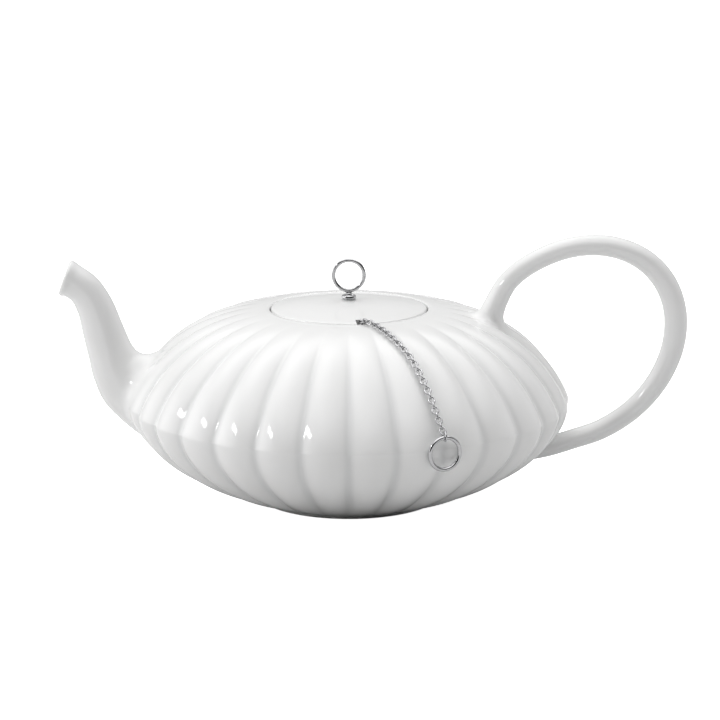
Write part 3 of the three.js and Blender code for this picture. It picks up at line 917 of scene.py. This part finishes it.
notch_faces = [list(range(count)), list(range(2 * count - 1, count - 1, -1))] + [
    [i, i + count, (i + 1) % count + count, (i + 1) % count] for i in range(count)
]
notch = piece("notch", np.array(notch_points) @ turn("Z", NOTCH_BEARING - 90).T, notch_faces)
boolean(lid, "DIFFERENCE", notch)
shade(lid.data, 38)
count = len(lid.data.vertices)
# the lid gets no painted crease shade
add_attribute(lid.data, "painted_crease_shade", np.zeros(count))
add_attribute(lid.data, "bare_clay", np.zeros(count))
finished(lid, "lid", "porcelain", "lid")

seal = eased_loop([(1.8, 90.62), (3.1, 90.55), (3.1, 91.1, 0.2), (1.8, 91.1)])
finished(piece("knob_seal_ring", *turned(seal, 48, closed=True)), "lid", "silicone", "knob_seal")
cup = eased_loop(
    [
        (1.8, 91.15), (3.0, 91.15, 0.3), (3.45, 91.7, 0.35), (3.15, 92.7, 0.3),
        (2.4, 93.0, 0.3), (2.1, 92.2, 0.4), (1.6, 91.9),
    ],
    5,
)
finished(piece("knob_dish", *turned(cup, 64, closed=True)), "lid", "polished_steel", "knob_cup")
stud_line = eased(
    [
        (0, 82.4), (1.35, 82.4, 0.1), (1.5, 82.6), (1.5, 92.5, 0.2), (1.3, 92.8, 0.15),
        (1.0, 93.15, 0.2), (1.55, 93.4, 0.1), (1.6, 93.75, 0.15), (1.0, 94.1, 0.2), (0, 94.2),
    ],
    4,
)
stud_line[0, 0] = stud_line[-1, 0] = 0.05
thread = [(1.5 - 0.12 * (i % 2), 82.7 + 0.25 * i) for i in range(1, 14)]
stud_line = np.vstack([stud_line[stud_line[:, 1] < 82.7], thread, stud_line[stud_line[:, 1] > 86.5]])
finished(piece("knob_post", *turned(stud_line, 48)), "lid", "polished_steel", "knob_stud")
knob_points = ring_points @ upright.T + np.array([0, 0, KNOB_RING_LEVEL])
knob_wire = piece("knob_ring_wire", knob_points, ring_faces, sharp=180)
finished(knob_wire, "lid", "polished_steel", "knob_ring")

gasket = eased_loop([(1.8, 85.6, 0.2), (4.5, 85.6, 0.3), (4.5, 86.4, 0.3), (1.8, 86.4, 0.2)])
finished(piece("gasket_ring", *turned(gasket, 48, closed=True)), "lid", "silicone", "lid_gasket")
washer = eased_loop([(1.8, 84.8, 0.1), (4, 84.8, 0.15), (4, 85.4, 0.15), (1.8, 85.4, 0.1)])
finished(piece("washer_ring", *turned(washer, 48, closed=True)), "lid", "pressed_steel", "lid_washer")


def hex_nut():
    """A hexagon nut with its corners turned off above and below and a chamfered hole."""
    columns = 72
    angle = np.arange(columns) * 2 * math.pi / columns
    flat = 3.0 * math.cos(math.pi / 6) / np.cos((angle % (math.pi / 3)) - math.pi / 6)
    outside = (82.6, 2.62), (82.75, 2.8), (83.0, 3.2), (84.2, 3.2), (84.45, 2.8), (84.6, 2.62)
    hole = (1.8, 84.6), (1.6, 84.4), (1.6, 82.8), (1.8, 82.6)
    rows = [(np.minimum(flat, limit), z) for z, limit in outside]
    rows += [(np.full(columns, r), z) for r, z in hole]
    grid = np.stack(
        [np.stack([r * np.cos(angle), r * np.sin(angle), np.full(columns, z)], -1) for r, z in rows]
    )
    return grid.reshape(-1, 3), tube_faces(len(rows), columns, closed=True)


finished(piece("nut_hex", *hex_nut(), sharp=25), "lid", "pressed_steel", "knob_nut")

# ---- infuser ----
BALL = np.array([5.1, -27.9, 30.8])
BALL_RADIUS, RIM_RADIUS, RIM_WIDTH, HINGE = 20.3, 22.2, 2.8, 23.6
PIN_BORE, KNUCKLE_RADIUS = 0.65, 1.1
SEAM_TO_REAR = -2.5  # the eye and its ring stand over the rear rim


def to_side(points, side):
    """A shape made about Z as it stands about the infuser's own Y axis, on one side of the seam."""
    return points @ turn("X", side * -90).T


def perforated_dome(side):
    """A pressed dome of sheet steel with rows of round holes."""
    columns, rows, first, last = 40, 9, 4.0, 84.0  # the rows run between these angles from the rim
    hole_size = 0.27  # share of a cell
    hole_points, hole_faces = [], []
    corners = [(0, 0), (0.5, 0), (1, 0), (1, 0.5), (1, 1), (0.5, 1), (0, 1), (0, 0.5)]
    index = {}

    def corner(i, j, u, v):
        key = (round((i + u) * 2) % (2 * columns), round((j + v) * 2))
        if key not in index:
            index[key] = len(hole_points)
            hole_points.append((key[0] / 2, key[1] / 2))
        return index[key]

    for j in range(rows):
        solid_row = j in (0, rows - 1)
        share = math.cos(math.radians(first + (last - first) * (j + 0.5) / rows))
        for i in range(columns):
            rim_points = [corner(i, j, u, v) for u, v in corners]
            crowded = share <= 0.55 and (i + j) % 2  # near the pole every other hole is left out
            if solid_row or crowded:
                hole_faces.append(rim_points)
                continue
            start = len(hole_points)
            for u, v in corners:
                a = math.atan2(v - 0.5, u - 0.5)
                hole_points.append(
                    (i + 0.5 + hole_size * math.cos(a), j + 0.5 + hole_size * math.sin(a))
                )
            for k in range(8):
                hole_faces.append(
                    [rim_points[k], rim_points[(k + 1) % 8], start + (k + 1) % 8, start + k]
                )
    top_ring = [index[(k, 2 * rows)] for k in range(2 * columns)]
    pole = len(hole_points)
    hole_points.append((0, None))
    for k in range(2 * columns):
        hole_faces.append([top_ring[k], top_ring[(k + 1) % (2 * columns)], pole])
    points = []
    middle_radius = BALL_RADIUS - 0.35  # of the sheet
    for u, v in hole_points:
        lift = math.radians(90 if v is None else first + (last - first) * v / rows)
        angle = 2 * math.pi * u / columns
        r, z = middle_radius * math.cos(lift), middle_radius * math.sin(lift)
        points.append((r * math.cos(angle), r * math.sin(angle), z))
    name = "infuser_rear_mesh" if side < 0 else "infuser_front_mesh"
    made = piece(name, to_side(np.array(points), side) + BALL, hole_faces, sharp=180)
    thick = made.modifiers.new("sheet", "SOLIDIFY")
    thick.thickness, thick.offset, thick.use_even_offset = 0.0006, 0, True
    graph = bpy.context.evaluated_depsgraph_get()
    made.data = bpy.data.meshes.new_from_object(made.evaluated_get(graph))
    made.modifiers.clear()
    shade(made.data, 40)
    return made


def infuser_rim(side, knuckles):
    """A rolled band round a dome's edge, with hinge knuckles at the top."""
    inside = BALL_RADIUS + 0.1
    band = eased_loop(
        [
            (inside, 0.15, 0.2), (RIM_RADIUS, 0.15, 0.3),
            (RIM_RADIUS, RIM_WIDTH, 0.9), (inside, RIM_WIDTH, 0.4),
        ],
        5,
    )
    band_points, band_faces = turned(band, 128, closed=True)
    name = "infuser_rear_band" if side < 0 else "infuser_front_band"
    made = piece(name, to_side(band_points, side) + BALL, band_faces, sharp=40)
    leaf_foot = RIM_RADIUS - 0.25
    leaf_section = (0.75, HINGE + 0.1), (1.5, HINGE - 0.3), (1.9, leaf_foot), (0.4, leaf_foot)
    leaf_faces = [[0, 1, 2, 3], [7, 6, 5, 4]]
    leaf_faces += [[i, i + 4, (i + 1) % 4 + 4, (i + 1) % 4] for i in range(4)]
    for centre, length in knuckles:
        end = length / 2
        curl = eased_loop(
            [
                (PIN_BORE, -end, 0.1), (KNUCKLE_RADIUS, -end, 0.15),
                (KNUCKLE_RADIUS, end, 0.15), (PIN_BORE, end, 0.1),
            ]
        )
        curl_points, curl_faces = turned(curl, 32, closed=True)
        curl_points = curl_points @ turn("Y", 90).T + BALL + np.array([centre, 0, HINGE])
        leaf = np.array(
            [(x, side * y, z) for x in (centre - end, centre + end) for y, z in leaf_section]
        )
        for tool in (
            piece("curl", curl_points, curl_faces),
            piece("leaf", leaf + BALL, leaf_faces),
        ):
            boolean(made, "UNION", tool)
    bore_points, bore_faces = turned([(PIN_BORE, -15), (PIN_BORE, 15)], 32)
    bore_points = bore_points @ turn("Y", 90).T + BALL + np.array([0, 0, HINGE])
    boolean(made, "DIFFERENCE", piece("pin_bore", bore_points, bore_faces))
    shade(made.data, 35)
    return made


finished(perforated_dome(-1), "infuser", "pressed_steel", "infuser_rear_dome")
finished(perforated_dome(1), "infuser_front", "pressed_steel", "infuser_front_dome")
finished(infuser_rim(-1, [(-3.7, 1.7), (3.7, 1.7)]), "infuser", "polished_steel", "infuser_rear_rim")
finished(infuser_rim(1, [(0, 5)]), "infuser_front", "polished_steel", "infuser_front_rim")

pin_line = eased(
    [
        (0.05, -5.4), (0.85, -5.4, 0.25), (0.85, -4.9, 0.05), (0.5, -4.9),
        (0.5, 4.9), (0.85, 4.9, 0.05), (0.85, 5.4, 0.25), (0.05, 5.4),
    ]
)
pin_points, pin_faces = turned(pin_line, 32)
pin_points = pin_points @ turn("Y", 90).T + BALL + np.array([0, 0, HINGE])
finished(
    piece("hinge_pin", pin_points, pin_faces), "infuser", "polished_steel", "infuser_hinge_pin"
)


def latch():
    """A spring strip under the rims with a rolled end."""
    line = eased(
        [(5.1, -22.5), (3.2, -22.85, 0.8), (-3.0, -22.85, 0.7), (-3.7, -23.5, 0.5), (-4.2, -23.3)], 6
    )
    along = np.gradient(line, axis=0)
    along /= np.linalg.norm(along, axis=1)[:, None]
    normal = np.stack([-along[:, 1], along[:, 0]], -1)
    line = line[line[:, 0] < 3.4]
    normal = normal[-len(line):]
    under = (-2.5, -0.1), (-2.35, -0.25), (2.35, -0.25), (2.5, -0.1)
    section = [*under, *((-x, -h) for x, h in under)]
    rows = [
        [(x, y + ny * h, z + nz * h) for x, h in section]
        for (y, z), (ny, nz) in zip(line, normal)
    ]
    points, faces = capped(np.array(rows))
    return piece("latch_spring", points + BALL, faces, sharp=40)


finished(latch(), "infuser_front", "polished_steel", "infuser_latch")
rivet_line = eased(
    [
        (0.05, -23.45), (0.75, -23.4, 0.3), (0.9, -23.1, 0.1),
        (0.55, -23.05), (0.55, -22.3), (0.05, -22.3),
    ]
)
rivet_points, rivet_faces = turned(rivet_line, 28)
finished(
    piece("latch_rivet_head", rivet_points + BALL + np.array([0, 1.9, 0]), rivet_faces),
    "infuser_front", "polished_steel", "infuser_latch_rivet",
)

EYE_RADIUS, EYE_WIRE = 2, 0.4
EYE_LEVEL = RIM_RADIUS + 0.3 + EYE_RADIUS + EYE_WIRE
eye_points, eye_faces = wire_ring(EYE_RADIUS, EYE_WIRE, 40, 12, weld=0.1)
eye_points = eye_points @ upright.T + BALL + np.array([0, SEAM_TO_REAR, EYE_LEVEL])
finished(
    piece("eye_wire", eye_points, eye_faces, sharp=180), "infuser", "polished_steel", "infuser_eye"
)
JUMP_LEVEL = EYE_LEVEL + EYE_RADIUS + JUMP_RADIUS - EYE_WIRE - JUMP_WIRE - WIRE_GAP
jump_points, jump_faces = wire_ring(JUMP_RADIUS, JUMP_WIRE, 40, 12, weld=0.15)
jump_points = jump_points @ turn("Y", 90).T + BALL + np.array([0, SEAM_TO_REAR, JUMP_LEVEL])
finished(
    piece("infuser_jump_wire", jump_points, jump_faces, sharp=180),
    "inner_chain", "polished_steel", "infuser_jump_ring",
)

# The run of chain inside the pot hangs straight from the first link in the notch to the jump ring.
chain_top = CHAIN_ROUTE[0][2] - LINK_PITCH / 2
lowest_hook = BALL[2] + JUMP_LEVEL + JUMP_RADIUS - JUMP_WIRE - LINK_WIRE
chain_low = lowest_hook + (LINK_LENGTH / 2 - LINK_WIRE)
inner_count = int(round((chain_top - chain_low) / LINK_PITCH)) + 1
levels = np.linspace(chain_top, chain_low, inner_count)
chain_x, chain_y = CHAIN_ROUTE[0][:2]
middles = np.stack([np.full(inner_count, chain_x), np.full(inner_count, chain_y), levels], -1)
inner_links = link_row(middles, np.tile([0, 0, -1.0], (inner_count, 1)), first_twist=45)
finished(
    piece("inner_chain_links", *merged(inner_links), sharp=180),
    "inner_chain", "polished_steel", "chain_inner_run",
)

# ---- stage ----
FLOOR_SIDE, FLOOR_GLOW, FLOOR_BOUNCE = 8, 1.0, 0.74
DOME_FRONT, DOME_BACK, DOME_LEFT, DOME_RIGHT, DOME_TOP = 0.0, 0.5, 1.6, 0.3, 1.7


def floor():
    """A pale floor that the camera sees lit from within, which keeps its shadow faint."""
    made = bpy.data.meshes.new("floor")
    corners = [(x * FLOOR_SIDE, y * FLOOR_SIDE, 0) for x, y in ((-1, -1), (1, -1), (1, 1), (-1, 1))]
    made.from_pydata(corners, [], [(0, 1, 2, 3)])
    ground = bpy.data.objects.new("floor", made)
    bpy.context.scene.collection.objects.link(ground)
    paint = bpy.data.materials.new("floor_paint")
    paint.use_nodes = True
    tree = paint.node_tree
    tree.nodes.clear()
    ray = tree.nodes.new("ShaderNodeLightPath")
    dull = tree.nodes.new("ShaderNodeBsdfDiffuse")
    dull.inputs["Color"].default_value = (FLOOR_BOUNCE, FLOOR_BOUNCE, FLOOR_BOUNCE, 1)
    pale = tree.nodes.new("ShaderNodeBsdfDiffuse")
    pale.inputs["Color"].default_value = (0.9, 0.9, 0.9, 1)
    glow = tree.nodes.new("ShaderNodeEmission")
    glow.inputs["Strength"].default_value = FLOOR_GLOW
    lit = tree.nodes.new("ShaderNodeAddShader")
    mix = tree.nodes.new("ShaderNodeMixShader")
    out = tree.nodes.new("ShaderNodeOutputMaterial")
    tree.links.new(pale.outputs[0], lit.inputs[0])
    tree.links.new(glow.outputs[0], lit.inputs[1])
    tree.links.new(ray.outputs["Is Camera Ray"], mix.inputs[0])
    tree.links.new(dull.outputs[0], mix.inputs[1])
    tree.links.new(lit.outputs[0], mix.inputs[2])
    tree.links.new(mix.outputs[0], out.inputs["Surface"])
    made.materials.append(paint)


def softbox(name, location, target, width, height, power):
    data = bpy.data.lights.new(name, "AREA")
    data.shape, data.size, data.size_y, data.energy = "RECTANGLE", width, height, power
    made = bpy.data.objects.new(name, data)
    made.location = location
    aim_at = Vector(target) - Vector(location)
    made.rotation_euler = aim_at.to_track_quat("-Z", "Y").to_euler()
    bpy.context.scene.collection.objects.link(made)


def studio_world():
    """A dome, bright overhead, at the sides and behind, and dark in front.

    The camera sees it as plain white.
    """
    world = bpy.data.worlds.new("studio")
    world.use_nodes = True
    bpy.context.scene.world = world
    tree = world.node_tree
    tree.nodes.clear()
    way = tree.nodes.new("ShaderNodeTexCoord")
    parts = tree.nodes.new("ShaderNodeSeparateXYZ")
    tree.links.new(way.outputs["Generated"], parts.inputs[0])
    total, *others = (
        ranged(tree, parts.outputs[axis], low, high, from_low, from_high, "SMOOTHSTEP")
        for axis, from_low, from_high, low, high in (
            ("Y", -0.3, 0.6, DOME_FRONT, DOME_BACK),
            ("X", -1.0, -0.62, DOME_LEFT, 0),
            ("X", 0.65, 1.0, 0, DOME_RIGHT),
            ("Z", 0.5, 0.92, 0, DOME_TOP),
        )
    )
    for more in others:
        added = tree.nodes.new("ShaderNodeMath")
        added.operation = "ADD"
        tree.links.new(total, added.inputs[0])
        tree.links.new(more, added.inputs[1])
        total = added.outputs[0]
    around = tree.nodes.new("ShaderNodeBackground")
    tree.links.new(total, around.inputs["Strength"])
    seen = tree.nodes.new("ShaderNodeBackground")
    for shown in (around, seen):
        shown.inputs["Color"].default_value = (1, 1, 1, 1)
    ray = tree.nodes.new("ShaderNodeLightPath")
    mix = tree.nodes.new("ShaderNodeMixShader")
    out = tree.nodes.new("ShaderNodeOutputWorld")
    tree.links.new(ray.outputs["Is Camera Ray"], mix.inputs[0])
    tree.links.new(around.outputs[0], mix.inputs[1])
    tree.links.new(seen.outputs[0], mix.inputs[2])
    tree.links.new(mix.outputs[0], out.inputs["Surface"])


floor()
softbox("left_window", (-1.25, -0.55, 0.9), (0, 0, 0.06), 0.5, 0.12, 2.4)
studio_world()
bpy.context.scene.view_settings.view_transform = "Standard"
